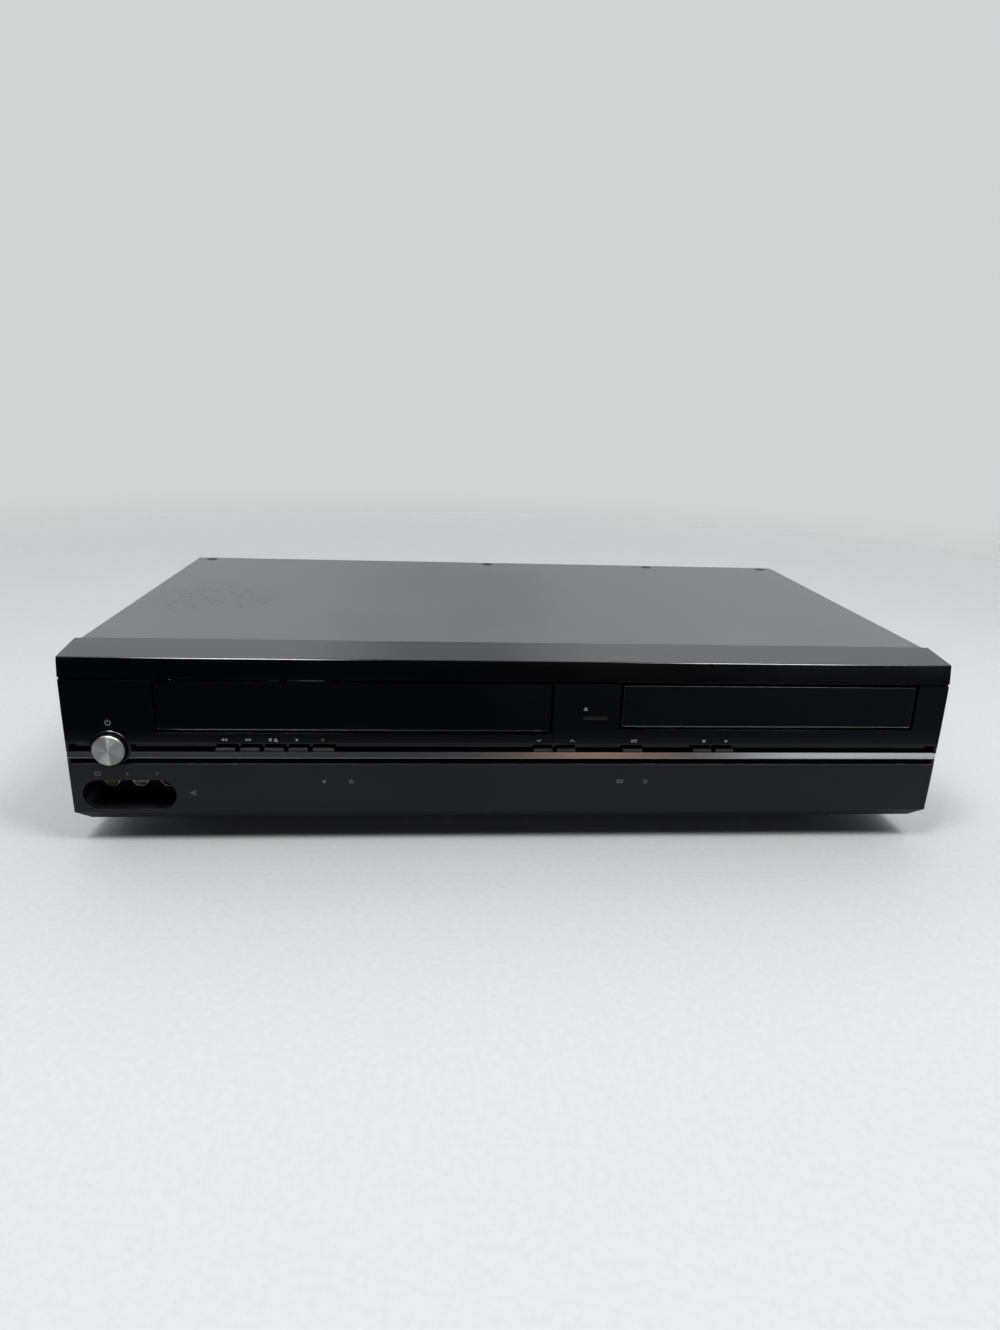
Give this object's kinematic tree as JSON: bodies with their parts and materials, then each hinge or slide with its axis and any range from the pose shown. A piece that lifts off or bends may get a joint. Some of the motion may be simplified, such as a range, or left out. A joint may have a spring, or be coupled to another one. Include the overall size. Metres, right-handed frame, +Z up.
{
  "type": "video cassette recorder and disc player",
  "caption": "Slim table unit that plays and records tape cassettes through a sprung front door and plays discs from a geared sliding tray.",
  "frame": {"origin": "bottom centre of the bounding box, on the surface that the feet stand on", "axes": "+X to the right seen from the front, +Y to the rear sockets, +Z up; the fascia faces -Y"},
  "size_m": [0.435, 0.25, 0.0995],
  "materials": {
    "cover_paint": "satin black enamel on sheet steel",
    "black_screw": "blackened steel",
    "zinc_sheet": "zinc-plated sheet steel",
    "rear_plastic": "fine-grained moulding",
    "foot_plastic": "moulded",
    "fascia_gloss": "polished moulding",
    "door_gloss": "polished moulding",
    "panel_satin": "satin moulding",
    "trim_silver": "hot-stamped bright strip",
    "collar_gloss": "polished moulding",
    "button_black": "moulded",
    "spun_aluminium": "spun finish with turned rings",
    "brown_board": "phenolic board",
    "green_board": "glass-epoxy board",
    "switch_black": "moulded",
    "socket_black": "moulded",
    "nickel": "nickel plate",
    "yellow_core": "moulded",
    "white_core": "moulded",
    "red_core": "moulded",
    "component_core": "moulded",
    "tin_plate": "tin plate",
    "bush_nylon": "moulded",
    "deck_steel": "zinc-plated sheet steel",
    "reel_acetal": "moulded acetal",
    "drum_aluminium": "turned aluminium",
    "ground_steel": "ground steel",
    "motor_steel": "pressed steel and bearing",
    "roller_rubber": "ground rubber",
    "loader_plastic": "moulded"
  },
  "bodies": {
    "case": {"top_cover": "cover_paint", "case_screws": "black_screw", "bottom_chassis": "zinc_sheet", "rear_panel": "rear_plastic", "feet": "foot_plastic", "front_panel": "fascia_gloss", "lower_panel": "panel_satin", "trim_strip": "trim_silver", "power_collar": "collar_gloss", "key_board": "brown_board", "key_switches": "switch_black", "jack_blocks": "socket_black", "jack_shells": "nickel", "yellow_jack_cores": "yellow_core", "white_jack_cores": "white_core", "red_jack_cores": "red_core", "component_jack_cores": "component_core", "antenna_block": "tin_plate", "cord_bush": "bush_nylon", "main_board": "green_board", "power_board": "brown_board", "deck_plate": "deck_steel", "deck_side_plates": "deck_steel", "lower_drum": "drum_aluminium", "capstan_motor": "motor_steel", "tape_heads": "motor_steel", "loader_frame": "loader_plastic", "clamp_bridge": "deck_steel"},
    "power_key": {"power_button": "button_black", "power_cap": "spun_aluminium"},
    "rewind_key": {"rewind_button": "button_black"},
    "fast_forward_key": {"fast_forward_button": "button_black"},
    "stop_eject_key": {"stop_eject_button": "button_black"},
    "play_key": {"play_button": "button_black"},
    "record_key": {"record_button": "button_black"},
    "channel_down_key": {"channel_down_button": "button_black"},
    "channel_up_key": {"channel_up_button": "button_black"},
    "source_key": {"source_button": "button_black"},
    "disc_stop_key": {"disc_stop_button": "button_black"},
    "disc_play_key": {"disc_play_button": "button_black"},
    "open_close_key": {"open_close_button": "button_black"},
    "door": {"cassette_door": "door_gloss"},
    "tray": {"disc_tray": "loader_plastic", "disc_tray_door": "door_gloss"},
    "tray_drive": {"tray_gear": "reel_acetal"},
    "traverse_unit": {"traverse": "deck_steel"},
    "table": {"turntable": "loader_plastic"},
    "pickup_sled": {"pickup": "loader_plastic"},
    "puck": {"clamp_puck": "reel_acetal"},
    "drum": {"upper_drum": "drum_aluminium"},
    "supply_table": {"supply_reel": "reel_acetal"},
    "takeup_table": {"takeup_reel": "reel_acetal"},
    "capstan_rotor": {"capstan": "ground_steel"},
    "pinch_lever": {"pinch_arm": "deck_steel"},
    "pinch_wheel": {"pinch_roller": "roller_rubber"},
    "holder": {"cassette_holder": "deck_steel"},
    "supply_slider": {"supply_guide": "ground_steel"},
    "takeup_slider": {"takeup_guide": "ground_steel"}
  },
  "joints": [
    {"name": "power_press", "type": "slide", "parent": "case", "child": "power_key", "axis": [0, 1, 0], "range_m": [0, 0.0008], "stiffness_N_per_m": 300},
    {"name": "rewind_press", "type": "slide", "parent": "case", "child": "rewind_key", "axis": [0, 1, 0], "range_m": [0, 0.0008], "stiffness_N_per_m": 150},
    {"name": "fast_forward_press", "type": "slide", "parent": "case", "child": "fast_forward_key", "axis": [0, 1, 0], "range_m": [0, 0.0008], "stiffness_N_per_m": 150},
    {"name": "stop_eject_press", "type": "slide", "parent": "case", "child": "stop_eject_key", "axis": [0, 1, 0], "range_m": [0, 0.0008], "stiffness_N_per_m": 150},
    {"name": "play_press", "type": "slide", "parent": "case", "child": "play_key", "axis": [0, 1, 0], "range_m": [0, 0.0008], "stiffness_N_per_m": 150},
    {"name": "record_press", "type": "slide", "parent": "case", "child": "record_key", "axis": [0, 1, 0], "range_m": [0, 0.0008], "stiffness_N_per_m": 150},
    {"name": "channel_down_press", "type": "slide", "parent": "case", "child": "channel_down_key", "axis": [0, 1, 0], "range_m": [0, 0.0008], "stiffness_N_per_m": 150},
    {"name": "channel_up_press", "type": "slide", "parent": "case", "child": "channel_up_key", "axis": [0, 1, 0], "range_m": [0, 0.0008], "stiffness_N_per_m": 150},
    {"name": "source_press", "type": "slide", "parent": "case", "child": "source_key", "axis": [0, 1, 0], "range_m": [0, 0.0008], "stiffness_N_per_m": 150},
    {"name": "disc_stop_press", "type": "slide", "parent": "case", "child": "disc_stop_key", "axis": [0, 1, 0], "range_m": [0, 0.0008], "stiffness_N_per_m": 150},
    {"name": "disc_play_press", "type": "slide", "parent": "case", "child": "disc_play_key", "axis": [0, 1, 0], "range_m": [0, 0.0008], "stiffness_N_per_m": 150},
    {"name": "open_close_press", "type": "slide", "parent": "case", "child": "open_close_key", "axis": [0, 1, 0], "range_m": [0, 0.0008], "stiffness_N_per_m": 150},
    {"name": "cassette_door_hinge", "type": "hinge", "parent": "case", "child": "door", "pos_m": [-0.0795, -0.11675, 0.0907], "axis": [1, 0, 0], "range_deg": [0, 90], "stiffness_Nm_per_rad": 0.004},
    {"name": "tray_slide", "type": "slide", "parent": "case", "child": "tray", "axis": [0, -1, 0], "range_m": [0, 0.135]},
    {"name": "tray_gear_spin", "type": "hinge", "parent": "case", "child": "tray_drive", "pos_m": [0.07525, -0.08945, 0.0623], "axis": [0, 0, 1], "range_deg": [0, 773.6]},
    {"name": "traverse_lift", "type": "hinge", "parent": "case", "child": "traverse_unit", "pos_m": [0.12575, 0.04455, 0.0623], "axis": [-1, 0, 0], "range_deg": [0, 5]},
    {"name": "table_spin", "type": "hinge", "parent": "traverse_unit", "child": "table", "pos_m": [0.12575, -0.04909, 0.05411], "axis": [0, -0.0872, 0.9962], "continuous": true},
    {"name": "pickup_slide", "type": "slide", "parent": "traverse_unit", "child": "pickup_sled", "axis": [0, 0.9962, 0.0872], "range_m": [0, 0.034]},
    {"name": "puck_spin", "type": "hinge", "parent": "case", "child": "puck", "pos_m": [0.12575, -0.04945, 0.0749], "axis": [0, 0, 1], "continuous": true},
    {"name": "drum_spin", "type": "hinge", "parent": "case", "child": "drum", "pos_m": [-0.0795, 0.05855, 0.0341], "axis": [0, 0.0872, 0.9962], "continuous": true},
    {"name": "supply_reel_spin", "type": "hinge", "parent": "case", "child": "supply_table", "pos_m": [-0.1255, -0.03645, 0.0341], "axis": [0, 0, 1], "continuous": true},
    {"name": "takeup_reel_spin", "type": "hinge", "parent": "case", "child": "takeup_table", "pos_m": [-0.0335, -0.03645, 0.0341], "axis": [0, 0, 1], "continuous": true},
    {"name": "capstan_spin", "type": "hinge", "parent": "case", "child": "capstan_rotor", "pos_m": [-0.0275, 0.03055, 0.0329], "axis": [0, 0, 1], "continuous": true},
    {"name": "pinch_arm_swing", "type": "hinge", "parent": "case", "child": "pinch_lever", "pos_m": [-0.0015, 0.04355, 0.0341], "axis": [0, 0, 1], "range_deg": [0, 22], "stiffness_Nm_per_rad": 0.003},
    {"name": "pinch_roller_spin", "type": "hinge", "parent": "pinch_lever", "child": "pinch_wheel", "pos_m": [-0.02649, 0.05073, 0.0401], "axis": [0, 0, 1], "continuous": true},
    {"name": "holder_slide", "type": "slide", "parent": "case", "child": "holder", "axis": [0, 1, 0], "range_m": [0, 0.06]},
    {"name": "takeup_guide_slide", "type": "slide", "parent": "case", "child": "takeup_slider", "axis": [0.3123, 0.95, 0], "range_m": [0, 0.066]},
    {"name": "supply_guide_slide", "type": "slide", "parent": "case", "child": "supply_slider", "axis": [-0.3123, 0.95, 0], "range_m": [0, 0.066]}
  ],
  "couplings": [
    {"joint": "tray_gear_spin", "follows": "tray_slide", "rad_per_m": 100},
    {"joint": "supply_guide_slide", "follows": "takeup_guide_slide", "ratio": 1}
  ]
}
